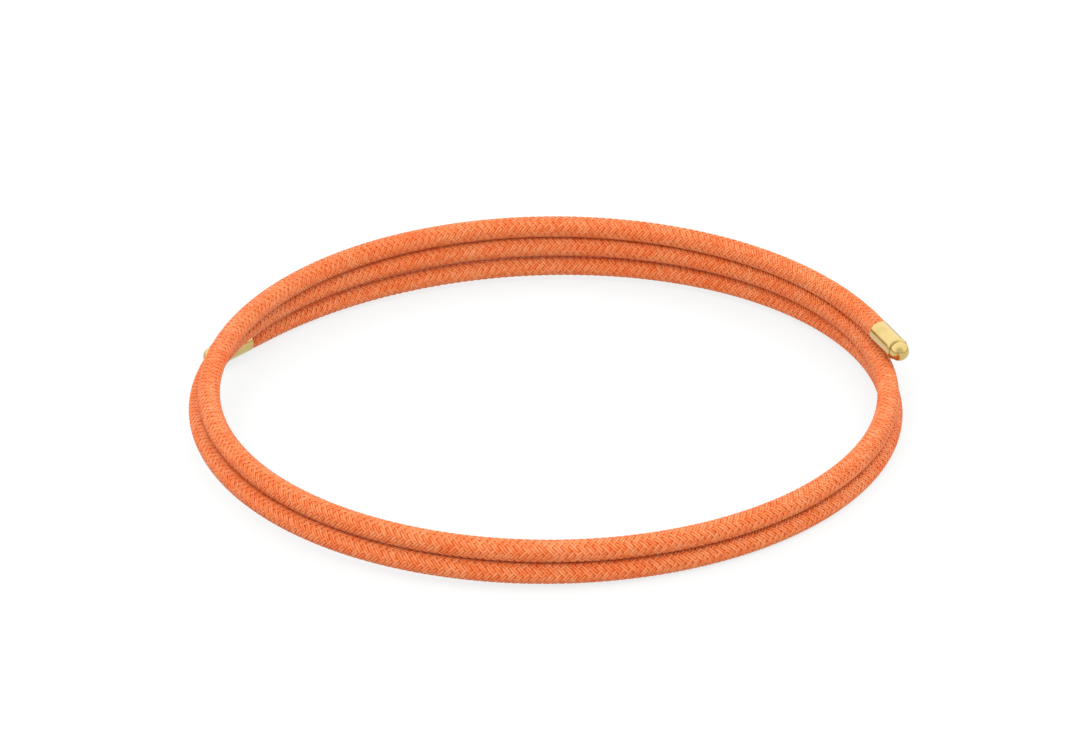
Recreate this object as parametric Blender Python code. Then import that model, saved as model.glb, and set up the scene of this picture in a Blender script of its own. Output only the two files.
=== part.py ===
"""Wrap neck coil: a braided textile cord on a hard spring wire, with a gilt brass cap on each end.

Metres, +Z up. The coil stands on its low cap and on the turn across from it, at z = 0, with the
origin under its middle. Seen from above, the cord runs clockwise as it climbs.
"""

import math

import bmesh
import bpy
import numpy as np
from mathutils import Matrix, Vector

MM = 0.001

# Winding
AXIS_X = -1.0 * MM              # the winding's axis, a little off the origin as the top end stands out
COIL_RADIUS = 71.0 * MM         # to the cord's centreline, halfway up
FIRST_ANGLE = 145.0             # degrees round the coil, where the low end runs out straight
LAST_ANGLE = -703.9             # degrees, where the top end does
LOOP_POINTS = 24                # points of the cord in one whole turn
TANGENT_STEP = 0.0001           # turns, short enough to give the coil's own direction
TURN_GAP = 0.2 * MM             # between a round cord and the turn above it
RADIUS_PER_TURN = -0.5 * MM     # each turn lies a little inside the one below
OVAL_PER_TURN = -0.6 * MM       # and is a little narrower along the oval's angle
OVAL_ANGLE = 31.0               # degrees round the coil
START_SPLAY = 3.3 * MM          # how far the stiff low end stands out of the round
END_SPLAY = 1.7 * MM            # and the top end
END_LIFT = 0.5 * MM             # how far the top end stands off the turn below
END_REACH = 0.07                # turns over which an end's splay and lift die away
MIDDLE_BOW = 1.2 * MM           # the second turn bows out over the low cap
MIDDLE_BOW_AT = 0.96            # turns up from the low end
TOP_TUCK = 0.9 * MM             # and the third is drawn in where it crosses that bow
TOP_TUCK_AT = 1.97              # turns up from the low end
BOW_REACH = 0.10                # turns over which the bow and the tuck die away

# Cord, from the inside out
WIRE_DIAMETER = 0.9 * MM
CORE_DIAMETER = 2.4 * MM
SLEEVE_WALL = 0.7 * MM
CLEARANCE = 0.3 * MM            # between any two pieces
TUBE_SIDES = 6                  # a loop's tube is six-sided, with a flat below and above
FLAT_SHARE = 0.1                # depth of the flat it stands on, as a share of the cord

# End caps
FERRULE_LENGTH = 10.6 * MM
FERRULE_PROUD = 0.15 * MM       # stands this much over the cord, all round
FERRULE_WALL = 0.35 * MM
END_WALL = 2.0 * MM             # thick end of the cup, which holds the button's thread
SHOULDER_RADIUS = 0.7 * MM
LIP_RADIUS = 0.12 * MM
BUTTON_DIAMETER = 4.0 * MM
BUTTON_HEIGHT = 2.3 * MM
BUTTON_EDGE = 0.15 * MM
STUD_DIAMETER = 1.8 * MM
STUD_LENGTH = 3.0 * MM
STUD_CHAMFER = 0.2 * MM

# Inside the caps
WHIPPING_START = 1.0 * MM       # from the cup's mouth
WHIPPING_LENGTH = 3.6 * MM
CORE_TO_STOP = 0.6 * MM
STOP_TO_STUD = 0.7 * MM
STOP_LENGTH = 1.5 * MM
STOP_WALL = 0.55 * MM
STOP_CHAMFER = 0.15 * MM
WIRE_PAST_STOP = 0.2 * MM

ROUND_STEPS = 32
FILLET_STEPS = 6

# A six-sided tube is narrower across its flats than across its corners.
ACROSS_FLATS = math.cos(math.pi / TUBE_SIDES)
HEX_CLEARANCE = CLEARANCE / ACROSS_FLATS

core_radius = CORE_DIAMETER / 2
wire_radius = WIRE_DIAMETER / 2
core_bore_radius = wire_radius + HEX_CLEARANCE
sleeve_bore_radius = core_radius + HEX_CLEARANCE
cord_radius = sleeve_bore_radius + SLEEVE_WALL
cord_diameter = 2 * cord_radius
pitch = cord_diameter + TURN_GAP
turn_count = (FIRST_ANGLE - LAST_ANGLE) / 360
segment_count = round(turn_count * LOOP_POINTS)

ferrule_radius = cord_radius + FERRULE_PROUD
ferrule_bore_radius = ferrule_radius - FERRULE_WALL
stud_hole_radius = STUD_DIAMETER / 2 + CLEARANCE

# Places along a cap's axis, measured into the cup from its mouth
seat = FERRULE_LENGTH + CLEARANCE
stud_end = seat - STUD_LENGTH
stop_end = stud_end - STOP_TO_STUD
stop_start = stop_end - STOP_LENGTH
wire_end = stop_end + WIRE_PAST_STOP
core_end = stop_start - CORE_TO_STOP


# ---------------------------------------------------------------- scene and materials

def clear_scene():
    for old in list(bpy.data.objects):
        bpy.data.objects.remove(old)


def material(name, colour, roughness, metallic):
    made = bpy.data.materials.new(name)
    made.use_nodes = True
    shader = made.node_tree.nodes["Principled BSDF"]
    shader.inputs["Base Color"].default_value = (*colour, 1.0)
    shader.inputs["Roughness"].default_value = roughness
    shader.inputs["Metallic"].default_value = metallic
    return made


def add_object(name, data, finish=None):
    made = bpy.data.objects.new(name, data)
    bpy.context.scene.collection.objects.link(made)
    if finish:
        data.materials.append(finish)
    return made


# ---------------------------------------------------------------- the winding's route

def winding_radius(turns):
    """Distance of the centreline from the coil's axis, this many turns up from the low end."""
    from_middle = turns - turn_count / 2
    angle = math.radians(FIRST_ANGLE) - math.tau * turns
    radius = COIL_RADIUS + RADIUS_PER_TURN * from_middle
    radius += OVAL_PER_TURN * from_middle * math.cos(2 * (angle - math.radians(OVAL_ANGLE)))
    radius += START_SPLAY * math.exp(-turns / END_REACH)
    radius += END_SPLAY * math.exp((turns - turn_count) / END_REACH)
    radius += MIDDLE_BOW * math.exp(-(((turns - MIDDLE_BOW_AT) / BOW_REACH) ** 2))
    radius -= TOP_TUCK * math.exp(-(((turns - TOP_TUCK_AT) / BOW_REACH) ** 2))
    return radius


def winding_height(turns):
    """A plain helix, tipped to stand on the low cap and on the turn half way round from it."""
    rest_height = cord_radius - FLAT_SHARE * cord_diameter

    # The lean's two parts follow from the two heights, and from lying level half way round.
    lean_sine = pitch / math.tau
    lean_cosine = (ferrule_radius - rest_height + pitch / 2) / 2
    base = ferrule_radius - lean_cosine

    angle = math.tau * turns
    height = base + pitch * turns + lean_cosine * math.cos(angle) + lean_sine * math.sin(angle)
    return height + END_LIFT * math.exp((turns - turn_count) / END_REACH)


def winding_point(turns):
    """A point of the coil's centreline, this many turns up from its low end."""
    angle = math.radians(FIRST_ANGLE) - math.tau * turns
    radius = winding_radius(turns)
    x, y = AXIS_X + radius * math.cos(angle), radius * math.sin(angle)
    return Vector((x, y, winding_height(turns)))


def cord_points():
    """The cord from cap to cap: the coil, and a straight end of one diameter before each cap."""
    coil = [winding_point(turn_count * step / segment_count) for step in range(segment_count + 1)]
    low_way = coil[0] - winding_point(TANGENT_STEP)
    low_way.z = 0.0  # the low cap lies level on the table
    top_way = coil[-1] - winding_point(turn_count - TANGENT_STEP)
    low_mouth = coil[0] + cord_diameter * low_way.normalized()
    top_mouth = coil[-1] + cord_diameter * top_way.normalized()
    return [low_mouth, *coil, top_mouth]


def with_ends_moved(points, distance):
    """The same route with both end points moved outwards along it, or inwards if negative."""
    first = points[0] + (points[0] - points[1]).normalized() * distance
    last = points[-1] + (points[-1] - points[-2]).normalized() * distance
    return [first, *points[1:-1], last]


# ---------------------------------------------------------------- tubes along the route

def tube(name, points, radius, finish=None):
    """A tube of TUBE_SIDES flat sides with closed ends, in straight runs from point to point."""
    curve = bpy.data.curves.new(name, "CURVE")
    curve.dimensions = "3D"
    curve.twist_mode = "Z_UP"
    curve.bevel_depth = radius
    curve.bevel_resolution = (TUBE_SIDES - 4) // 2
    curve.use_fill_caps = True
    spline = curve.splines.new("POLY")
    spline.points.add(len(points) - 1)
    for target, point in zip(spline.points, points):
        target.co = (*point, 1.0)
    return add_object(name, curve, finish)


def as_mesh(curve_object):
    """Puts the mesh that a curve draws in its place, closed, so that it can be cut or can cut."""
    graph = bpy.context.evaluated_depsgraph_get()
    mesh = bpy.data.meshes.new_from_object(curve_object.evaluated_get(graph))
    work = bmesh.new()
    work.from_mesh(mesh)
    bmesh.ops.remove_doubles(work, verts=work.verts, dist=0.001 * MM)
    work.to_mesh(mesh)
    work.free()
    name = curve_object.name
    bpy.data.objects.remove(curve_object)
    return add_object(name, mesh)


def cut(target, cutter):
    """Takes the cutter's shape out of the target."""
    cutter.hide_render = True
    cutter.display_type = "WIRE"
    boolean = target.modifiers.new(cutter.name, "BOOLEAN")
    boolean.operation = "DIFFERENCE"
    boolean.solver = "EXACT"
    boolean.object = cutter


def least_gap(tube_object, route):
    """Least distance between the tube's surface points that lie over half a turn apart on it."""
    points = np.array([vertex.co for vertex in tube_object.data.vertices])
    centres = np.array(route)
    to_centres = np.linalg.norm(points[:, None] - centres[None], axis=2)
    place = to_centres.argmin(axis=1)
    distances = np.linalg.norm(points[:, None] - points[None], axis=2)
    apart = np.abs(place[:, None] - place[None]) > LOOP_POINTS // 2
    return distances[apart].min()


# ---------------------------------------------------------------- the cord

def braided_sleeve(route, finish):
    """The woven cover: one unbroken tube with its bore, cut flat where the coil stands on it."""
    ends = with_ends_moved(route, -CLEARANCE)
    sleeve = as_mesh(tube("braided_sleeve", ends, cord_radius, finish))
    print(f"least gap of the cord to itself: {least_gap(sleeve, route) / MM:.2f} mm")
    past_ends = with_ends_moved(route, cord_diameter)
    cut(sleeve, as_mesh(tube("sleeve_bore", past_ends, sleeve_bore_radius)))
    cut(sleeve, table_block())


def table_block():
    """Everything below the table's surface, under the whole coil."""
    side, depth = 3 * COIL_RADIUS, 4 * cord_diameter
    mesh = bpy.data.meshes.new("table_block")
    work = bmesh.new()
    shape = Matrix.Translation((0, 0, -depth / 2)) @ Matrix.Diagonal((side, side, depth, 1))
    bmesh.ops.create_cube(work, size=1.0, matrix=shape)
    work.to_mesh(mesh)
    work.free()
    return add_object("table_block", mesh)


def core_tube(route, finish):
    """Soft filler tube under the braid, which runs on into both cups and carries the wire."""
    core = as_mesh(tube("core_tube", with_ends_moved(route, core_end), core_radius, finish))
    past_ends = with_ends_moved(route, core_end + cord_diameter)
    cut(core, as_mesh(tube("core_bore", past_ends, core_bore_radius)))


def spring_wire(route, finish):
    """Hard wire that holds the coil's shape, through the core and both wire stops."""
    tube("spring_wire", with_ends_moved(route, wire_end), wire_radius, finish)


# ---------------------------------------------------------------- turned pieces

def quarter_round(centre_radius, centre_height, radius, first_degrees):
    """A quarter round of a profile, as (radius, height), clockwise from this direction."""
    points = []
    for step in range(FILLET_STEPS + 1):
        turn = math.radians(first_degrees - 90 * step / FILLET_STEPS)
        across = centre_radius + radius * math.cos(turn)
        points.append((across, centre_height + radius * math.sin(turn)))
    return points


def turned(name, profile, closed, finish):
    """Turns a profile, given as (radius, height) down its outer side, about the local Z axis."""
    mesh = bpy.data.meshes.new(name)
    edges = [(i, i + 1) for i in range(len(profile) - 1)]
    if closed:
        edges.append((len(profile) - 1, 0))
    mesh.from_pydata([(radius, 0.0, height) for radius, height in profile], edges, [])
    made = add_object(name, mesh, finish)
    screw = made.modifiers.new("turn", "SCREW")
    screw.axis = "Z"
    screw.steps = ROUND_STEPS
    screw.render_steps = ROUND_STEPS
    screw.use_merge_vertices = True
    screw.merge_threshold = 0.002 * MM
    screw.use_smooth_shade = True
    return made


def ferrule_profile():
    """A drawn cup: rounded lip, straight wall, rounded shoulder, and a thick end with a hole."""
    shoulder_height = FERRULE_LENGTH - SHOULDER_RADIUS
    inner_end = FERRULE_LENGTH - END_WALL
    return [
        (stud_hole_radius, FERRULE_LENGTH),
        *quarter_round(ferrule_radius - SHOULDER_RADIUS, shoulder_height, SHOULDER_RADIUS, 90),
        *quarter_round(ferrule_radius - LIP_RADIUS, LIP_RADIUS, LIP_RADIUS, 0),
        (ferrule_bore_radius, 0.0),
        (ferrule_bore_radius, inner_end),
        (stud_hole_radius, inner_end),
    ]


def button_profile():
    """A domed button on its stud: half a ball over a short rim, with the stud below."""
    button_radius = BUTTON_DIAMETER / 2
    stud_radius = STUD_DIAMETER / 2
    dome_height = seat + BUTTON_HEIGHT - button_radius
    dome = quarter_round(0.0, dome_height, button_radius, 90)
    return [
        (0.0, seat + BUTTON_HEIGHT),
        *dome[1:],
        (button_radius, seat + BUTTON_EDGE),
        (button_radius - BUTTON_EDGE, seat),
        (stud_radius, seat),
        (stud_radius, stud_end + STUD_CHAMFER),
        (stud_radius - STUD_CHAMFER, stud_end),
        (0.0, stud_end),
    ]


def ring_profile(inner, outer, low, high, corner):
    """A ring with its two outer corners taken off."""
    return [
        (inner, high),
        (outer - corner, high),
        (outer, high - corner),
        (outer, low + corner),
        (outer - corner, low),
        (inner, low),
    ]


def whipping_profile():
    """Thread bound round the core's end, soft at its corners, inside the cup's bore."""
    inner = core_radius + CLEARANCE
    outer = ferrule_bore_radius - CLEARANCE
    high = WHIPPING_START + WHIPPING_LENGTH
    return ring_profile(inner, outer, WHIPPING_START, high, (outer - inner) / 3)


def stop_profile():
    """A short collar crimped on the wire, so that the wire can't draw back into the core."""
    inner = wire_radius + CLEARANCE
    return ring_profile(inner, inner + STOP_WALL, stop_start, stop_end, STOP_CHAMFER)


def end_cap(side, mouth, outwards, gilt, thread, steel):
    """The turned pieces of one end, on an axis that starts at the mouth of the cup."""
    # The axis's local X points up, so the cup has the same edge lowest at either end.
    along = outwards.normalized()
    up = (Vector((0, 0, 1)) - along * along.z).normalized()
    turned_to = Matrix((up, along.cross(up), along)).transposed().to_4x4()
    axis = add_empty(side + "_cap_axis", Matrix.Translation(mouth) @ turned_to)
    pieces = [
        turned(side + "_ferrule", ferrule_profile(), True, gilt),
        turned(side + "_button", button_profile(), False, gilt),
        turned(side + "_whipping", whipping_profile(), True, thread),
        turned(side + "_wire_stop", stop_profile(), True, steel),
    ]
    for piece in pieces:
        piece.parent = axis


def add_empty(name, matrix):
    made = bpy.data.objects.new(name, None)
    bpy.context.scene.collection.objects.link(made)
    made.matrix_world = matrix
    return made


# ---------------------------------------------------------------- the whole coil

def build():
    clear_scene()
    braid = material("orange_braid", (0.86, 0.19, 0.07), 0.8, 0.0)
    filler = material("soft_filler", (0.75, 0.72, 0.66), 0.7, 0.0)
    thread = material("binding_thread", (0.80, 0.76, 0.68), 0.85, 0.0)
    gilt = material("gilt_brass", (0.86, 0.66, 0.30), 0.16, 1.0)
    steel = material("spring_steel", (0.55, 0.55, 0.56), 0.3, 1.0)

    route = cord_points()
    braided_sleeve(route, braid)
    core_tube(route, filler)
    spring_wire(route, steel)
    end_cap("start", route[0], route[0] - route[1], gilt, thread, steel)
    end_cap("end", route[-1], route[-1] - route[-2], gilt, thread, steel)


build()
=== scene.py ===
import math

import bmesh
import bpy
from mathutils import Matrix, Vector


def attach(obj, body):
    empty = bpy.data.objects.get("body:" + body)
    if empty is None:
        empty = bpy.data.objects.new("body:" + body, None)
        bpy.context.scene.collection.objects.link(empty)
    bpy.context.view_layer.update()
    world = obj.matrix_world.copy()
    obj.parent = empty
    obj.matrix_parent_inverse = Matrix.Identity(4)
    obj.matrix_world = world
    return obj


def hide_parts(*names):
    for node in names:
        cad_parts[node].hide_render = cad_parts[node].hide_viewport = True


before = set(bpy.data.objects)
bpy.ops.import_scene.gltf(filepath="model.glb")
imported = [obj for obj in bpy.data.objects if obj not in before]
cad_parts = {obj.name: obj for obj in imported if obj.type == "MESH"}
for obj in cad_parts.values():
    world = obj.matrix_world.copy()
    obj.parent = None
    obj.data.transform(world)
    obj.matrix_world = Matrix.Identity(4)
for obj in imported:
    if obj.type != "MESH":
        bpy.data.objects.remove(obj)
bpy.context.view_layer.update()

# ------------------------------------------------------------------ table, light and camera
# The coil stands on a plain white table under soft studio light. The camera looks down at it
# from the front at 26 degrees, from over a metre away, and is rolled by 1.4 degrees.
MM = 0.001
CAMERA_ELEVATION = 26.05
CAMERA_DISTANCE = 1300 * MM
CAMERA_ROLL = -1.41
CAMERA_TARGET = Vector((-2.23, 12.35, 7.0)) * MM
SENSOR_WIDTH = 36.0
FOCAL_LENGTH = 206.9
TABLE_HALF_SIZE = 4.0
TABLE_GLOW = 0.975
TENT_WHITE = 1.5
TENT_OPENING = 0.9              # round the camera
TENT_FOOT = 0.25                # as a share, where its walls meet the table
SOFT_BOXES = (                  # name, place, width, height, watts
    ("front_box", (0.0, -1.1, 1.25), 1.4, 0.8, 15.0),
    ("left_box", (-1.2, 0.1, 1.2), 0.9, 0.9, 4.0),
    ("right_box", (1.2, 0.1, 1.2), 0.9, 0.9, 4.0),
)


def new_object(name, data, finish=None):
    made = bpy.data.objects.new(name, data)
    bpy.context.scene.collection.objects.link(made)
    if finish:
        data.materials.append(finish)
    return made


def aim_camera():
    tilt = math.radians(CAMERA_ELEVATION)
    back = Vector((0, -math.cos(tilt), math.sin(tilt)))
    right = Vector((1, 0, 0))
    up = back.cross(right)
    roll = math.radians(CAMERA_ROLL)
    rolled_right = math.cos(roll) * right + math.sin(roll) * up
    rolled_up = math.cos(roll) * up - math.sin(roll) * right
    turned = Matrix((rolled_right, rolled_up, back)).transposed().to_4x4()
    data = bpy.data.cameras.new("camera")
    data.sensor_fit = "HORIZONTAL"
    data.sensor_width = SENSOR_WIDTH
    data.lens = FOCAL_LENGTH
    data.clip_start = 0.01
    data.clip_end = 50.0
    camera = new_object("camera", data)
    camera.matrix_world = Matrix.Translation(CAMERA_TARGET + CAMERA_DISTANCE * back) @ turned
    bpy.context.scene.camera = camera


class Nodes:
    """A node tree under construction: each call adds a node, and most give its first output."""

    def __init__(self, tree):
        self.tree = tree

    def add(self, kind, inputs=None, **settings):
        node = self.tree.nodes.new(kind)
        for name, value in settings.items():
            setattr(node, name, value)
        for key, value in (inputs or {}).items():
            self.put(node.inputs[key], value)
        return node

    def put(self, socket, value):
        if isinstance(value, bpy.types.NodeSocket):
            self.tree.links.new(value, socket)
        else:
            socket.default_value = value

    def math(self, operation, first, second=0.0, third=0.0):
        node = self.add("ShaderNodeMath", {0: first, 1: second, 2: third}, operation=operation)
        return node.outputs[0]

    def vector(self, operation, first, second=None, scale=None):
        inputs = {0: first}
        if second is not None:
            inputs[1] = second
        if scale is not None:
            inputs["Scale"] = scale
        node = self.add("ShaderNodeVectorMath", inputs, operation=operation)
        return node.outputs["Value"] if operation == "DOT_PRODUCT" else node.outputs[0]

    def fade(self, value, low, high, at_low=0.0, at_high=1.0):
        """A smooth change from one value to another between two places."""
        inputs = {0: value, 1: low, 2: high, 3: at_low, 4: at_high}
        node = self.add("ShaderNodeMapRange", inputs, interpolation_type="SMOOTHSTEP")
        return node.outputs[0]

    def blend(self, share, first, second, way="MIX"):
        """One colour into another."""
        node = self.add("ShaderNodeMix", data_type="RGBA", blend_type=way)
        self.put(node.inputs["Factor"], share)
        self.put(node.inputs[6], first)
        self.put(node.inputs[7], second)
        return node.outputs[2]

    def noise(self, place, scale, detail):
        """Soft uneven patches, from 0 to 1."""
        inputs = {"Vector": place, "Scale": scale, "Detail": detail}
        return self.add("ShaderNodeTexNoise", inputs).outputs[0]

    def bump(self, height, strength, distance):
        """A surface direction that follows a height."""
        inputs = {"Height": height, "Strength": strength, "Distance": distance}
        return self.add("ShaderNodeBump", inputs).outputs[0]


def new_finish(name):
    """A new material: its node tree under construction, and its shader."""
    made = bpy.data.materials.new(name)
    made.use_nodes = True
    return made, Nodes(made.node_tree), made.node_tree.nodes["Principled BSDF"]


def white_table():
    """White laminate that glows: much of its light is painted and even, so shadows stay faint."""
    made, n, shader = new_finish("white_table")
    place = n.add("ShaderNodeTexCoord").outputs["Object"]
    grain = n.noise(place, 60.0, 4.0)
    # Painted light: a slightly pink base under a slightly blue glow keeps the shadows by the cord
    # neutral against its orange bounce.
    n.put(shader.inputs["Base Color"], (0.185, 0.168, 0.164, 1.0))
    n.put(shader.inputs["Roughness"], n.fade(grain, 0.3, 0.7, 0.55, 0.65))
    shader.inputs["Specular IOR Level"].default_value = 0.0
    shader.inputs["Emission Color"].default_value = (0.73, 0.775, 0.78, 1.0)
    shader.inputs["Emission Strength"].default_value = TABLE_GLOW
    return made


def lay_table():
    mesh = bpy.data.meshes.new("table")
    work = bmesh.new()
    bmesh.ops.create_grid(work, x_segments=1, y_segments=1, size=TABLE_HALF_SIZE)
    work.to_mesh(mesh)
    work.free()
    new_object("table", mesh, white_table())


def hang_light(name, place, width, height, power):
    """A soft box, turned to the coil. Neither the camera nor the polished gilt sees the box."""
    data = bpy.data.lights.new(name, "AREA")
    data.shape = "RECTANGLE"
    data.size, data.size_y = width, height
    data.energy = power
    light = new_object(name, data)
    light.location = place
    to_coil = Vector((0, 0, 0)) - Vector(place)
    light.rotation_euler = to_coil.to_track_quat("-Z", "Y").to_euler()
    light.visible_camera = False
    light.visible_glossy = False


def light_room():
    """A white light tent all round, dimmer round the camera and at its foot."""
    world = bpy.data.worlds.new("room")
    bpy.context.scene.world = world
    world.use_nodes = True
    n = Nodes(world.node_tree)
    way = n.add("ShaderNodeTexCoord").outputs["Generated"]
    way = n.vector("NORMALIZE", way)
    tilt = math.radians(CAMERA_ELEVATION)
    to_camera = n.vector("DOT_PRODUCT", way, (0.0, -math.cos(tilt), math.sin(tilt)))
    shade = n.fade(to_camera, 0.5, 0.95, TENT_WHITE, TENT_OPENING)
    height = n.add("ShaderNodeSeparateXYZ", {0: way}).outputs["Z"]
    shade = n.math("MULTIPLY", shade, n.fade(height, 0.03, 0.15, TENT_FOOT, 1.0))
    background = world.node_tree.nodes["Background"]
    grey = n.add("ShaderNodeCombineColor", {0: shade, 1: shade, 2: shade}).outputs[0]
    n.put(background.inputs["Color"], grey)
    background.inputs["Strength"].default_value = 1.0
    for box in SOFT_BOXES:
        hang_light(*box)


aim_camera()
lay_table()
light_room()
bpy.context.scene.view_settings.view_transform = "Standard"

# ------------------------------------------------------------------ spring wire
# One length of hard bright steel wire, 0.9 mm thick, coiled 2.36 turns. It gives the cord its
# shape. Seen from above it runs clockwise as it climbs, and its ends stand in the two cups.
AXIS_X = -1.0 * MM
COIL_RADIUS = 71.0 * MM
FIRST_ANGLE = 145.0             # degrees round the coil, where the low end runs out straight
LAST_ANGLE = -703.9
LOOP_POINTS = 24                # of the frame's cord, on each turn
TANGENT_STEP = 0.0001           # turns, as are the reaches and the places of the bends below
RADIUS_PER_TURN = -0.5 * MM     # the coil narrows as it climbs
OVAL_PER_TURN = -0.6 * MM       # and its oval changes with it
OVAL_ANGLE = 31.0
START_SPLAY = 3.3 * MM          # outwards, at the two ends
END_SPLAY = 1.7 * MM
END_LIFT = 0.5 * MM
END_REACH = 0.07
MIDDLE_BOW = 1.2 * MM           # the second turn bows out over the low cap
MIDDLE_BOW_AT = 0.96
TOP_TUCK = 0.9 * MM             # and the third is drawn in where it crosses that bow
TOP_TUCK_AT = 1.97
BOW_REACH = 0.10
CORD_RADIUS = 2.2464 * MM
CUP_RADIUS = CORD_RADIUS + 0.15 * MM
PITCH = 2 * CORD_RADIUS + 0.2 * MM
FLAT_SHARE = 0.1                # of the cord: the frame's cord is cut flat where it stands
LIFTED_FROM = 0.35              # turns, from where to where the round cord lies fully higher
LIFTED_TO = 2.05
FINE_STEPS = 12                 # points of the smooth cord between two of the frame's

WIRE_RADIUS = 0.45 * MM
WIRE_IN_CUP = 7.25 * MM

turn_count = (FIRST_ANGLE - LAST_ANGLE) / 360
segment_count = round(turn_count * LOOP_POINTS)


def winding_radius(turns):
    """How far the cord's middle is from the coil's axis."""
    from_middle = turns - turn_count / 2
    angle = math.radians(FIRST_ANGLE) - math.tau * turns
    radius = COIL_RADIUS + RADIUS_PER_TURN * from_middle
    radius += OVAL_PER_TURN * from_middle * math.cos(2 * (angle - math.radians(OVAL_ANGLE)))
    radius += START_SPLAY * math.exp(-turns / END_REACH)
    radius += END_SPLAY * math.exp((turns - turn_count) / END_REACH)
    radius += MIDDLE_BOW * math.exp(-(((turns - MIDDLE_BOW_AT) / BOW_REACH) ** 2))
    radius -= TOP_TUCK * math.exp(-(((turns - TOP_TUCK_AT) / BOW_REACH) ** 2))
    return radius


def winding_height(turns):
    """How high it is. The coil leans a little, as it rests on its cup and on its first turn."""
    rest_height = CORD_RADIUS - FLAT_SHARE * 2 * CORD_RADIUS
    lean_sine = PITCH / math.tau
    lean_cosine = (CUP_RADIUS - rest_height + PITCH / 2) / 2
    base = CUP_RADIUS - lean_cosine
    angle = math.tau * turns
    height = base + PITCH * turns + lean_cosine * math.cos(angle) + lean_sine * math.sin(angle)
    return height + END_LIFT * math.exp((turns - turn_count) / END_REACH)


def frame_point(turns):
    """A point of the coil in the frame, this many turns up from its low end."""
    angle = math.radians(FIRST_ANGLE) - math.tau * turns
    radius = winding_radius(turns)
    x, y = AXIS_X + radius * math.cos(angle), radius * math.sin(angle)
    return Vector((x, y, winding_height(turns)))


def smooth_step(low, high, value):
    """From 0 to 1, smoothly, as a value goes from low to high."""
    share = min(max((value - low) / (high - low), 0.0), 1.0)
    return share * share * (3 - 2 * share)


def round_point(turns):
    """The same for the round cord. It isn't cut flat below, so it lies a little higher."""
    lift = FLAT_SHARE * 2 * CORD_RADIUS
    lift *= smooth_step(0.0, LIFTED_FROM, turns) * (1 - smooth_step(LIFTED_TO, turn_count, turns))
    return frame_point(turns) + Vector((0, 0, lift))


def cap_ways():
    """The ways in which the two ends run straight out of the coil."""
    low = frame_point(0.0) - frame_point(TANGENT_STEP)
    low.z = 0.0
    top = frame_point(turn_count) - frame_point(turn_count - TANGENT_STEP)
    return low.normalized(), top.normalized()


low_way, top_way = cap_ways()
low_mouth = frame_point(0.0) + 2 * CORD_RADIUS * low_way
top_mouth = frame_point(turn_count) + 2 * CORD_RADIUS * top_way


def cord_route(in_cup):
    """From inside one cup round the coil to the same depth inside the other."""
    step_count = segment_count * FINE_STEPS
    coil = [round_point(turn_count * step / step_count) for step in range(step_count + 1)]
    low_end = low_mouth + in_cup * low_way
    top_end = top_mouth + in_cup * top_way
    return [low_end, low_mouth, *coil, top_mouth, top_end]


def route_curve(name, points, radius, resolution, finish=None):
    """A round cord along points."""
    curve = bpy.data.curves.new(name, "CURVE")
    curve.dimensions = "3D"
    curve.twist_mode = "Z_UP"
    curve.bevel_depth = radius
    curve.bevel_resolution = resolution
    curve.use_fill_caps = True
    spline = curve.splines.new("POLY")
    spline.points.add(len(points) - 1)
    for target, point in zip(spline.points, points):
        target.co = (*point, 1.0)
    spline.use_smooth = True
    return new_object(name, curve, finish)


def bright_steel():
    """Drawn spring steel: fine lines along it, and a thin film of oil that dulls it in patches."""
    made, n, shader = new_finish("bright_steel")
    place = n.add("ShaderNodeTexCoord").outputs["Object"]
    film = n.noise(place, 700.0, 3.0)
    lines = n.noise(place, 9000.0, 2.0)
    oiled_tone = (0.50, 0.50, 0.51, 1.0)
    clean_tone = (0.60, 0.59, 0.58, 1.0)
    tone = n.blend(n.fade(film, 0.35, 0.65), oiled_tone, clean_tone)
    n.put(shader.inputs["Base Color"], tone)
    n.put(shader.inputs["Roughness"], n.fade(film, 0.3, 0.7, 0.24, 0.38))
    shader.inputs["Metallic"].default_value = 1.0
    n.put(shader.inputs["Normal"], n.bump(lines, 0.15, 0.02 * MM))
    return made


steel = bright_steel()
wire = route_curve("wire", cord_route(WIRE_IN_CUP), WIRE_RADIUS, resolution=2, finish=steel)
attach(wire, "coil")
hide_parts("spring_wire")

# ------------------------------------------------------------------ wire stops
# A short steel collar is crimped on each end of the wire, inside its cup, so that the wire
# can't draw back into the core. The frame's own collars stay, in the wire's steel.
for name in ("start_wire_stop", "end_wire_stop"):
    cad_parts[name].data.materials[0] = steel

# ------------------------------------------------------------------ filler core
# A soft cord of spun yarn, dyed with the cover, fills the braid and carries the wire. Its very dark
# orange is painted shade for the depth of the braid. The braid is drawn tight over it, and in each
# cup it goes on, thinner, to where the thread binds it.
FILLER_RADIUS = 1.92 * MM
BOUND_RADIUS = 0.95 * MM
FILLER_IN_CUP = 5.1 * MM
TAPER = 0.8 * MM                # into the cup, over which it narrows


def shade_painted_filler():
    """Spun yarn in a very dark orange, painted shade for the depth of the braid; darker still in
    its fluff's hollows.
    """
    made, n, shader = new_finish("shade_painted_filler")
    place = n.add("ShaderNodeTexCoord").outputs["Object"]
    fluff = n.noise(place, 2500.0, 3.0)
    hollow_tone = (0.12, 0.010, 0.001, 1.0)
    raised_tone = (0.24, 0.022, 0.003, 1.0)
    tone = n.blend(n.fade(fluff, 0.3, 0.7), hollow_tone, raised_tone)
    n.put(shader.inputs["Base Color"], tone)
    n.put(shader.inputs["Roughness"], n.fade(fluff, 0.2, 0.8, 0.85, 0.95))
    n.put(shader.inputs["Normal"], n.bump(fluff, 0.6, 0.05 * MM))
    return made


def filler_route():
    """The route, with one more point in each cup, where the filler has narrowed."""
    points = cord_route(FILLER_IN_CUP)
    points.insert(1, low_mouth + TAPER * low_way)
    points.insert(len(points) - 1, top_mouth + TAPER * top_way)
    return points


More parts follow.
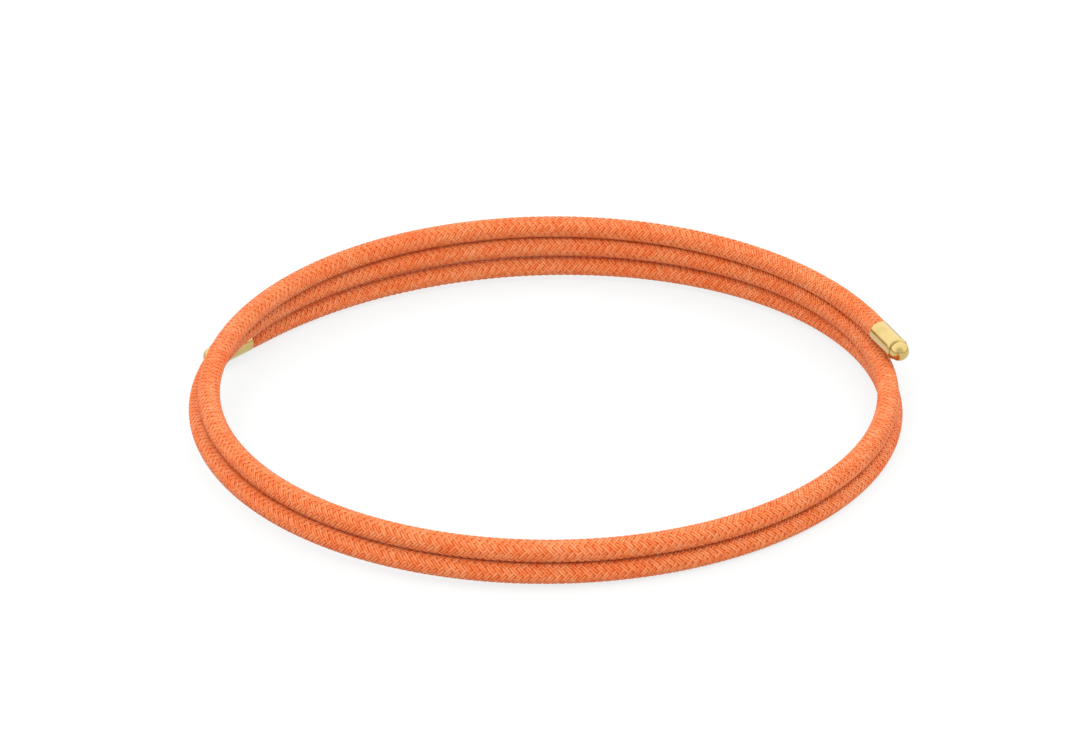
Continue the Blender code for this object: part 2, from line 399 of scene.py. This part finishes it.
route = filler_route()
filler = route_curve("filler", route, FILLER_RADIUS, resolution=3, finish=shade_painted_filler())
for narrow_point in (0, 1, -2, -1):
    filler.data.splines[0].points[narrow_point].radius = BOUND_RADIUS / FILLER_RADIUS
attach(filler, "coil")
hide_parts("braided_sleeve", "core_tube")

# ------------------------------------------------------------------ whippings
# Waxed thread is bound tightly round the end of the core in each cup, fifteen turns side by
# side. It holds the braid's cut ends, and gives the glue a grip.
WHIPPING_START = 1.0 * MM
WHIPPING_LENGTH = 3.6 * MM
WHIPPING_RADIUS = 1.623 * MM    # to the thread's middle
WHIPPING_TURNS = 15
WHIPPING_POINTS = 28            # on each turn
WHIPPING_SIDES = 8              # of the thread's section


def set_inputs(modifier, values):
    """Sets a modifier's inputs by the identifiers of the sockets with these names."""
    for item in modifier.node_group.interface.items_tree:
        if item.in_out == "INPUT" and item.name in values:
            modifier[item.identifier] = values[item.name]


def new_tree(name, numbers, counts):
    """A geometry tree under construction, with named inputs for its sizes and its finish."""
    tree = bpy.data.node_groups.new(name, "GeometryNodeTree")
    face = tree.interface
    face.new_socket("Geometry", in_out="INPUT", socket_type="NodeSocketGeometry")
    for number in numbers:
        face.new_socket(number, in_out="INPUT", socket_type="NodeSocketFloat")
    for count in counts:
        face.new_socket(count, in_out="INPUT", socket_type="NodeSocketInt")
    face.new_socket("Finish", in_out="INPUT", socket_type="NodeSocketMaterial")
    face.new_socket("Geometry", in_out="OUTPUT", socket_type="NodeSocketGeometry")
    n = Nodes(tree)
    return tree, n, n.add("NodeGroupInput").outputs


def end_tree(n, lines, section, finish):
    """A section is swept along the lines, and the tree gives one smooth mesh in its finish."""
    sweep = {"Curve": lines, "Profile Curve": section, "Fill Caps": True}
    swept = n.add("GeometryNodeCurveToMesh", sweep).outputs[0]
    smooth = n.add("GeometryNodeSetShadeSmooth", {"Geometry": swept}).outputs[0]
    whole = n.add("GeometryNodeRealizeInstances", {"Geometry": smooth}).outputs[0]
    done = n.add("GeometryNodeSetMaterial", {"Geometry": whole, "Material": finish})
    n.add("NodeGroupOutput", {"Geometry": done.outputs[0]})


def plain_mesh(made, name):
    """What an object's modifiers draw, as a plain mesh on a new object at the origin."""
    graph = bpy.context.evaluated_depsgraph_get()
    mesh = bpy.data.meshes.new_from_object(made.evaluated_get(graph), depsgraph=graph)
    mesh.name = name
    bpy.data.objects.remove(made)
    return new_object(name, mesh)


def whipping_tree():
    """A thread wound so that its turns, as far apart as it is thick, fill the length."""
    tree, n, given = new_tree("wind_thread", ("Radius", "Length"), ("Turns",))
    turns = given["Turns"]
    thickness = n.math("DIVIDE", given["Length"], turns)
    run = n.math("SUBTRACT", given["Length"], thickness)
    line = n.add("GeometryNodeCurveSpiral", {
        "Resolution": WHIPPING_POINTS,
        "Rotations": n.math("SUBTRACT", turns, 1.0),
        "Start Radius": given["Radius"],
        "End Radius": given["Radius"],
        "Height": run,
    }).outputs[0]
    section = n.add("GeometryNodeCurvePrimitiveCircle", {
        "Resolution": WHIPPING_SIDES,
        "Radius": n.math("MULTIPLY", thickness, 0.5),
    }).outputs[0]
    end_tree(n, line, section, given["Finish"])
    return tree


def waxed_thread():
    """Natural thread with a film of wax: pale, a little glossy, and uneven."""
    made, n, shader = new_finish("waxed_thread")
    place = n.add("ShaderNodeTexCoord").outputs["Object"]
    fibre = n.noise(place, 6000.0, 3.0)
    waxed_tone = (0.62, 0.55, 0.42, 1.0)
    bare_tone = (0.82, 0.78, 0.68, 1.0)
    tone = n.blend(n.fade(fibre, 0.3, 0.7), waxed_tone, bare_tone)
    n.put(shader.inputs["Base Color"], tone)
    n.put(shader.inputs["Roughness"], n.fade(fibre, 0.3, 0.7, 0.4, 0.6))
    n.put(shader.inputs["Normal"], n.bump(fibre, 0.5, 0.02 * MM))
    return made


def cap_place(mouth, way):
    """Stands a piece that was made upright at the origin on a cap's axis, from its mouth."""
    up = (Vector((0, 0, 1)) - way * way.z).normalized()
    turned = Matrix((up, way.cross(up), way)).transposed().to_4x4()
    return Matrix.Translation(mouth) @ turned


cap_places = {"start": cap_place(low_mouth, low_way), "end": cap_place(top_mouth, top_way)}
half_thread = WHIPPING_LENGTH / WHIPPING_TURNS / 2
first_turn = Matrix.Translation((0, 0, WHIPPING_START + half_thread))
thread_finish = waxed_thread()
wind_thread = whipping_tree()
for side, place in cap_places.items():
    name = side + "_thread"
    source = new_object(name + "_source", bpy.data.meshes.new(name + "_source"))
    wound = source.modifiers.new("wind_thread", "NODES")
    wound.node_group = wind_thread
    set_inputs(wound, {
        "Radius": WHIPPING_RADIUS,
        "Length": WHIPPING_LENGTH,
        "Turns": WHIPPING_TURNS,
        "Finish": thread_finish,
    })
    whipping = plain_mesh(source, name)
    whipping.data.transform(place @ first_turn)
    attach(whipping, "coil")
    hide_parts(side + "_whipping")

# ------------------------------------------------------------------ braided cover
# A sixteen-carrier braid, eight carriers each way round, two over and two under, as the
# herringbone in the photograph shows. Each carrier lays two flat yarns of polyester filament.
CARRIERS_EACH_WAY = 8
YARNS_ON_CARRIER = 2
CARRIERS_IN_PIECE = 2
LAY_LENGTH = 12.2 * MM          # along the cord, for one carrier's turn round it
BRAID_RADIUS = 2.045 * MM
YARN_WIDTH = 0.69 * MM
YARN_THICKNESS = 0.32 * MM
YARN_CLOSENESS = 0.90           # of two yarns on a carrier, against an even spread
CROSSING_DEPTH = 0.09 * MM
CROSSING_STEEPNESS = 1.5        # of the change from over to under
YARN_STEP = 0.24 * MM
YARN_SIDES = 5                  # of the yarn's section
TUCKED_LENGTH = 4.9 * MM        # of the cut ends, in each cup
LEAD_LENGTH = 0.9 * MM          # from the cup's rim to the whipping
NECK_LENGTH = 0.6 * MM          # over which the cup's rim draws the braid in
NECK_RADIUS = 1.72 * MM
BOUND_YARN_RADIUS = 1.22 * MM   # under the whipping
UNEVENNESS = 0.15               # of a yarn's width, and of its place, from yarn tension
WANDER_SCALE = 260.0            # noise patches in a metre of yarn, for its place
SWELL_SCALE = 420.0             # and for its width
YARN_APART = 7.3                # between two yarns' rows in the noise, so that they differ


def store_on_points(n, geometry, name, value, kind):
    """Keeps a value on each point, under a name that a finish can read."""
    inputs = {"Geometry": geometry, "Name": name, "Value": value}
    node = n.add("GeometryNodeStoreNamedAttribute", inputs, data_type=kind, domain="POINT")
    return node.outputs[0]


def yarn_tree():
    """Lays the yarns of some carriers round a line, and draws them in at its two ends."""
    tree, n, given = new_tree(
        "lay_yarns",
        ("Lay length", "Braid radius", "Yarn width", "Yarn thickness", "Crossing depth",
         "Crossing steepness", "Step", "Turning way", "Tucked length", "Lead length",
         "Neck length", "Neck radius", "Bound radius", "Closeness", "Unevenness"),
        ("Carriers each way", "Yarns on carrier", "Carriers", "First carrier", "Seed"),
    )
    amount = n.math("MULTIPLY", given["Carriers"], given["Yarns on carrier"])
    line = n.add("GeometryNodeResampleCurve", {"Curve": given["Geometry"], "Length": given["Step"]},
                 mode="LENGTH").outputs[0]
    copies = n.add("GeometryNodeDuplicateElements", {"Geometry": line, "Amount": amount},
                   domain="SPLINE")

    # Directions across the cord: sideways, and up square to it.
    tangent = n.add("GeometryNodeInputTangent").outputs[0]
    side = n.vector("NORMALIZE", n.vector("CROSS_PRODUCT", tangent, (0.0, 0.0, 1.0)))
    above = n.vector("CROSS_PRODUCT", side, tangent)

    # Each carrier's turn round the cord, and its yarns side by side, each with a slow wander.
    run = n.add("GeometryNodeSplineParameter").outputs
    copy = copies.outputs["Duplicate Index"]
    carrier = n.math("FLOOR", n.math("DIVIDE", copy, given["Yarns on carrier"]))
    in_bundle = n.math("SUBTRACT", copy, n.math("MULTIPLY", carrier, given["Yarns on carrier"]))
    off_middle = n.math("SUBTRACT", given["Yarns on carrier"], 1.0)
    off_middle = n.math("MULTIPLY_ADD", off_middle, -0.5, in_bundle)
    number = n.math("ADD", carrier, given["First carrier"])
    share = n.math("DIVIDE", number, given["Carriers each way"])
    turned = n.math("DIVIDE", run["Length"], given["Lay length"])
    turned = n.math("MULTIPLY", turned, given["Turning way"])
    angle = n.math("MULTIPLY", n.math("ADD", turned, share), math.tau)
    seed = n.math("ADD", copy, given["Seed"])
    seed = n.math("MULTIPLY_ADD", seed, YARN_APART, given["First carrier"])
    along = n.add("ShaderNodeCombineXYZ", {0: run["Length"], 1: seed, 2: 0.0}).outputs[0]
    wander = n.noise(along, WANDER_SCALE, 1.0)
    wander = n.math("MULTIPLY", n.math("SUBTRACT", wander, 0.5), 2.0)
    beside = n.math("MULTIPLY", off_middle, given["Closeness"])
    beside = n.math("MULTIPLY_ADD", wander, given["Unevenness"], beside)
    yarns = n.math("MULTIPLY", given["Carriers each way"], given["Yarns on carrier"])
    laid = n.math("MULTIPLY_ADD", beside, n.math("DIVIDE", math.tau, yarns), angle)

    # Two over and two under: out or in by where on the cord's round the carrier is.
    wave = n.math("MULTIPLY", angle, n.math("DIVIDE", given["Carriers each way"], 2.0))
    wave = n.math("COSINE", n.math("SUBTRACT", wave, math.pi / 4))
    wave = n.math("MULTIPLY", wave, given["Turning way"])
    wave = n.math("TANH", n.math("MULTIPLY", wave, given["Crossing steepness"]))
    out = n.math("MULTIPLY_ADD", wave, given["Crossing depth"], given["Braid radius"])

    # Drawn in at each end, to go into the cup. The factor at the first point is 0, so it is
    # held above that before it divides.
    whole_run = n.math("DIVIDE", run["Length"], n.math("MAXIMUM", run["Factor"], 1e-6))
    left = n.math("SUBTRACT", whole_run, run["Length"])
    to_end = n.math("MINIMUM", run["Length"], left)
    free_from = n.math("ADD", given["Tucked length"], given["Neck length"])
    freed = n.fade(to_end, given["Tucked length"], free_from)
    bound_to = n.math("SUBTRACT", given["Tucked length"], given["Lead length"])
    neck = n.fade(
        to_end, bound_to, given["Tucked length"], given["Bound radius"], given["Neck radius"])
    out = n.math("MULTIPLY_ADD", freed, n.math("SUBTRACT", out, neck), neck)

    outwards = n.vector(
        "ADD",
        n.vector("SCALE", side, scale=n.math("COSINE", laid)),
        n.vector("SCALE", above, scale=n.math("SINE", laid)),
    )
    kept = n.add("GeometryNodeCaptureAttribute", {"Geometry": copies.outputs[0]}, domain="POINT")
    kept.capture_items.new("VECTOR", "outwards")
    kept.capture_items.new("VECTOR", "along")
    kept.capture_items.new("FLOAT", "wave")
    n.put(kept.inputs["outwards"], outwards)
    n.put(kept.inputs["along"], along)
    n.put(kept.inputs["wave"], wave)
    moved = n.add("GeometryNodeSetPosition", {
        "Geometry": kept.outputs["Geometry"],
        "Offset": n.vector("SCALE", kept.outputs["outwards"], scale=out),
    }).outputs[0]
    faced = n.add("GeometryNodeSetCurveNormal", {
        "Curve": moved,
        "Normal": kept.outputs["outwards"],
    }, mode="FREE").outputs[0]

    # A yarn is a little wider in one place than in another, in a noise apart from the wander's.
    off_wander = n.vector("ADD", kept.outputs["along"], (0.0, 3.1, 1.7))
    swell = n.noise(off_wander, SWELL_SCALE, 1.0)
    swell = n.math("MULTIPLY", n.math("SUBTRACT", swell, 0.5), 3.0)
    swell = n.math("MULTIPLY_ADD", swell, given["Unevenness"], 1.0)
    sized = n.add("GeometryNodeSetCurveRadius", {"Curve": faced, "Radius": swell}).outputs[0]

    # What the finish reads: the place along the yarn and its number, and how far out it lies.
    marked = store_on_points(n, sized, "yarn_run", kept.outputs["along"], "FLOAT_VECTOR")
    marked = store_on_points(n, marked, "yarn_over", kept.outputs["wave"], "FLOAT")

    # The yarn's section: a flat oval, and its own places across and out for the finish.
    section = n.add("GeometryNodeCurvePrimitiveCircle", {
        "Resolution": YARN_SIDES,
        "Radius": 1.0,
    }).outputs[0]
    position = n.add("GeometryNodeInputPosition").outputs[0]
    section = store_on_points(n, section, "yarn_section", position, "FLOAT_VECTOR")
    half_thick = n.math("MULTIPLY", given["Yarn thickness"], 0.5)
    half_wide = n.math("MULTIPLY", given["Yarn width"], 0.5)
    oval = n.add("ShaderNodeCombineXYZ", {0: half_thick, 1: half_wide, 2: 1.0}).outputs[0]
    flat = n.add("GeometryNodeTransform", {"Geometry": section, "Scale": oval}).outputs[0]
    end_tree(n, marked, flat, given["Finish"])
    return tree


def orange_polyester():
    """Filament yarn: fine lines along it, painted shade at its edges and under crossings that
    leaves the crowns lighter, uneven dye.
    """
    made, n, shader = new_finish("orange_polyester")
    run = n.add("ShaderNodeAttribute", attribute_name="yarn_run").outputs["Vector"]
    section = n.add("ShaderNodeAttribute", attribute_name="yarn_section").outputs["Vector"]
    over = n.add("ShaderNodeAttribute", attribute_name="yarn_over").outputs["Fac"]
    lengthwise = n.add("ShaderNodeSeparateXYZ", {0: run}).outputs
    crosswise = n.add("ShaderNodeSeparateXYZ", {0: section}).outputs

    # Filaments: long thin streaks, in the yarn's own directions.
    streak_place = n.add("ShaderNodeCombineXYZ", {
        0: n.math("MULTIPLY", lengthwise["X"], 1200.0),
        1: n.math("MULTIPLY", crosswise["Y"], 4.0),
        2: lengthwise["Y"],
    }).outputs[0]
    streaks = n.noise(streak_place, 1.0, 2.0)

    # Dye: lighter and deeper orange from stitch to stitch.
    stitch_place = n.add("ShaderNodeCombineXYZ", {
        0: n.math("MULTIPLY", lengthwise["X"], 700.0),
        1: lengthwise["Y"],
        2: 0.0,
    }).outputs[0]
    stitch = n.noise(stitch_place, 1.0, 1.0)

    # Painted shade: a yarn is darkened to a deep orange at its edges and where it goes under
    # another, where the braid's crevices shade it. The same deep tone also marks the darker
    # stitches of the dye.
    shade_and_dye_tone = (0.50, 0.035, 0.001, 1.0)
    main_tone = (0.67, 0.19, 0.053, 1.0)
    light_tone = (0.66, 0.32, 0.18, 1.0)
    crown = n.fade(crosswise["X"], 0.0, 0.85)
    depth = n.fade(over, -1.0, 0.2)
    # The share of the yarn left out of the painted shade: 1 on the crown of a yarn going over, 0 at
    # its edges.
    height = n.math("MULTIPLY", crown, n.math("MULTIPLY_ADD", depth, 0.6, 0.4))
    tone = n.blend(height, shade_and_dye_tone, main_tone)
    lift = n.math("MULTIPLY", n.fade(stitch, 0.38, 0.68), n.fade(streaks, 0.35, 0.7))
    tone = n.blend(n.math("MULTIPLY", lift, 0.6), tone, light_tone)
    dark = n.math("MULTIPLY", n.fade(stitch, 0.55, 0.32), 0.3)
    tone = n.blend(dark, tone, shade_and_dye_tone)

    # The dye bath took unevenly too, over a centimetre of cord at a time.
    place = n.add("ShaderNodeTexCoord").outputs["Object"]
    batch = n.noise(place, 90.0, 3.0)
    share = n.fade(batch, 0.36, 0.64)
    fuller = n.blend(1.0, tone, (1.0, 0.86, 0.74, 1.0), "MULTIPLY")
    tone = n.blend(share, fuller, tone)
    n.put(shader.inputs["Base Color"], tone)
    n.put(shader.inputs["Roughness"], n.fade(streaks, 0.3, 0.7, 0.46, 0.60))
    # The same painted-shade share turns the specular down at the yarns' edges and under crossings.
    n.put(shader.inputs["Specular IOR Level"], n.math("MULTIPLY", height, 0.25))
    n.put(shader.inputs["Normal"], n.bump(streaks, 0.5, 0.04 * MM))
    return made


yarn_finish = orange_polyester()
lay_yarns = yarn_tree()
yarn_route = cord_route(TUCKED_LENGTH)
braid_pieces = []
for way_name, way, seed in (("left", 1.0, 11), ("right", -1.0, 523)):
    for first in range(0, CARRIERS_EACH_WAY, CARRIERS_IN_PIECE):
        name = f"yarns_{way_name}_{first // CARRIERS_IN_PIECE + 1}"
        source = route_curve(name + "_line", yarn_route, radius=0.0, resolution=0)
        laid = source.modifiers.new("lay_yarns", "NODES")
        laid.node_group = lay_yarns
        set_inputs(laid, {
            "Lay length": LAY_LENGTH,
            "Braid radius": BRAID_RADIUS,
            "Yarn width": YARN_WIDTH,
            "Yarn thickness": YARN_THICKNESS,
            "Crossing depth": CROSSING_DEPTH,
            "Crossing steepness": CROSSING_STEEPNESS,
            "Step": YARN_STEP,
            "Turning way": way,
            "Tucked length": TUCKED_LENGTH,
            "Lead length": LEAD_LENGTH,
            "Neck length": NECK_LENGTH,
            "Neck radius": NECK_RADIUS,
            "Bound radius": BOUND_YARN_RADIUS,
            "Closeness": YARN_CLOSENESS,
            "Unevenness": UNEVENNESS,
            "Carriers each way": CARRIERS_EACH_WAY,
            "Yarns on carrier": YARNS_ON_CARRIER,
            "Carriers": CARRIERS_IN_PIECE,
            "First carrier": first,
            "Seed": seed,
            "Finish": yarn_finish,
        })
        braid_pieces.append(plain_mesh(source, name))

for piece in braid_pieces:
    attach(piece, "coil")

# ------------------------------------------------------------------ cups
# A drawn brass cup closes each end of the cord, gilt and polished, with a thin rounded lip. The
# cord is glued in it over the whipping. Its thick end has a threaded hole for the button.
CUP_LENGTH = 9.6 * MM
CUP_WALL = 0.35 * MM
CUP_END = 2.0 * MM
SHOULDER = 0.7 * MM
LIP = 0.12 * MM
BORE_CORNER = 0.2 * MM
EDGE_LOOP = 0.05 * MM           # from each round, which keeps the long wall true
HOLE_RADIUS = 1.2 * MM
HOLE_CHAMFER = 0.15 * MM
THREAD_PITCH = 0.4 * MM
THREAD_DEPTH = 0.14 * MM
THREAD_ROWS = 10                # for each turn of the thread
TURNING_STEPS = 96


def arc(middle, height, radius, first, last, steps):
    """Points of (radius, height) round part of a circle, its angles in degrees."""
    points = []
    for step in range(steps + 1):
        angle = math.radians(first + (last - first) * step / steps)
        points.append((middle + radius * math.cos(angle), height + radius * math.sin(angle)))
    return points


def turned_piece(name, profile, place, closed, thread_radius=None):
    """Turns a profile about a cap's axis. Where it has the thread's radius, a thread stands in."""
    work = bmesh.new()
    along = work.verts.layers.float.new("along")
    rings = []
    for radius, height in profile:
        ring = []
        for step in range(TURNING_STEPS if radius > 0 else 1):
            turn = step / TURNING_STEPS
            depth = 0.0
            if radius == thread_radius:
                tooth = (height / THREAD_PITCH + turn) % 1.0
                depth = THREAD_DEPTH * (1 - abs(2 * tooth - 1))
            angle = math.tau * turn
            across = radius - depth
            vert = work.verts.new((across * math.cos(angle), across * math.sin(angle), height))
            vert[along] = height
            ring.append(vert)
        rings.append(ring)
    pairs = list(zip(rings, rings[1:]))
    if closed:
        pairs.append((rings[-1], rings[0]))
    for first, second in pairs:
        for step in range(TURNING_STEPS):
            corners = [
                first[step % len(first)],
                first[(step + 1) % len(first)],
                second[(step + 1) % len(second)],
                second[step % len(second)],
            ]
            work.faces.new(list(dict.fromkeys(corners)))
    bmesh.ops.recalc_face_normals(work, faces=work.faces)
    for face in work.faces:
        face.smooth = True
    bmesh.ops.transform(work, matrix=place, verts=work.verts)
    mesh = bpy.data.meshes.new(name)
    work.to_mesh(mesh)
    work.free()
    return new_object(name, mesh, gilt)


def thread_rows(radius, low, high):
    """Points up a threaded stretch, from its low end to its high end."""
    count = round((high - low) / THREAD_PITCH * THREAD_ROWS)
    return [(radius, low + (high - low) * step / count) for step in range(count + 1)]


def cup_profile():
    """Down the outside from the hole's rim, round the lip, and up the inside."""
    bore = CUP_RADIUS - CUP_WALL
    inner_end = CUP_LENGTH - CUP_END
    shoulder = CUP_LENGTH - SHOULDER
    return [
        (HOLE_RADIUS + HOLE_CHAMFER, CUP_LENGTH),
        (CUP_RADIUS - SHOULDER - EDGE_LOOP, CUP_LENGTH),
        *arc(CUP_RADIUS - SHOULDER, shoulder, SHOULDER, 90, 0, steps=12),
        (CUP_RADIUS, shoulder - EDGE_LOOP),
        (CUP_RADIUS, CUP_LENGTH / 2),
        (CUP_RADIUS, LIP + EDGE_LOOP),
        *arc(CUP_RADIUS - LIP, LIP, LIP, 0, -90, steps=6),
        *arc(bore + LIP, LIP, LIP, -90, -180, steps=6),
        (bore, LIP + EDGE_LOOP),
        *arc(bore - BORE_CORNER, inner_end - BORE_CORNER, BORE_CORNER, 0, 90, steps=6),
        (HOLE_RADIUS + HOLE_CHAMFER, inner_end),
        *thread_rows(HOLE_RADIUS, inner_end + HOLE_CHAMFER, CUP_LENGTH - HOLE_CHAMFER),
    ]


def gilt_brass():
    """Polished brass under thin gilding: fine lines round it from the buffing wheel, and a
    warmer tone where the film is thicker."""
    made, n, shader = new_finish("gilt_brass")
    place = n.add("ShaderNodeTexCoord").outputs["Object"]
    along = n.add("ShaderNodeAttribute", attribute_name="along").outputs["Fac"]
    buffed_place = n.add("ShaderNodeCombineXYZ", {0: n.math("MULTIPLY", along, 9000.0)}).outputs[0]
    buffed = n.noise(buffed_place, 1.0, 3.0)
    film = n.noise(place, 220.0, 2.0)
    warm_tone = (0.58, 0.43, 0.15, 1.0)
    pale_tone = (0.63, 0.48, 0.19, 1.0)
    tone = n.blend(n.fade(film, 0.3, 0.7), warm_tone, pale_tone)
    n.put(shader.inputs["Base Color"], tone)
    rough = n.math("MULTIPLY_ADD", n.fade(film, 0.35, 0.75), 0.05, 0.15)
    n.put(shader.inputs["Roughness"], n.math("MULTIPLY_ADD", buffed, 0.04, rough))
    shader.inputs["Metallic"].default_value = 1.0
    n.put(shader.inputs["Normal"], n.bump(buffed, 0.03, 0.002 * MM))
    return made


gilt = gilt_brass()
for side, place in cap_places.items():
    cup = turned_piece(side + "_cup", cup_profile(), place, closed=True, thread_radius=HOLE_RADIUS)
    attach(cup, "coil")
    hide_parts(side + "_ferrule")

# ------------------------------------------------------------------ buttons
# A domed button, turned from one piece of brass with its stud and gilt as the cups are, screws
# into each cup's end. A dark seam stays between the two. The stud is drawn as a plain taper.
SEAM = 0.3 * MM
BUTTON_RADIUS = 2.05 * MM
BUTTON_RIM = 0.3 * MM
RIM_ROUND = 0.12 * MM
STUD_RADIUS = 0.9 * MM
STUD_LENGTH = 2.6 * MM
STUD_TAPER = 0.2 * MM           # by which its tip is narrower


def button_profile():
    """From the top of the dome down its side, under the rim, and down the plain stud."""
    seat = CUP_LENGTH + SEAM
    tip = seat - STUD_LENGTH
    return [
        (0.0, seat + BUTTON_RIM + BUTTON_RADIUS),
        *arc(0.0, seat + BUTTON_RIM, BUTTON_RADIUS, 90, 0, steps=24)[1:],
        (BUTTON_RADIUS, seat + RIM_ROUND),
        *arc(BUTTON_RADIUS - RIM_ROUND, seat + RIM_ROUND, RIM_ROUND, 0, -90, steps=5)[1:],
        (STUD_RADIUS + RIM_ROUND, seat),
        (STUD_RADIUS - STUD_TAPER, tip),
        (0.0, tip),
    ]


for side, place in cap_places.items():
    button = turned_piece(side + "_dome", button_profile(), place, closed=False)
    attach(button, side + "_button_body")
    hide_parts(side + "_button")
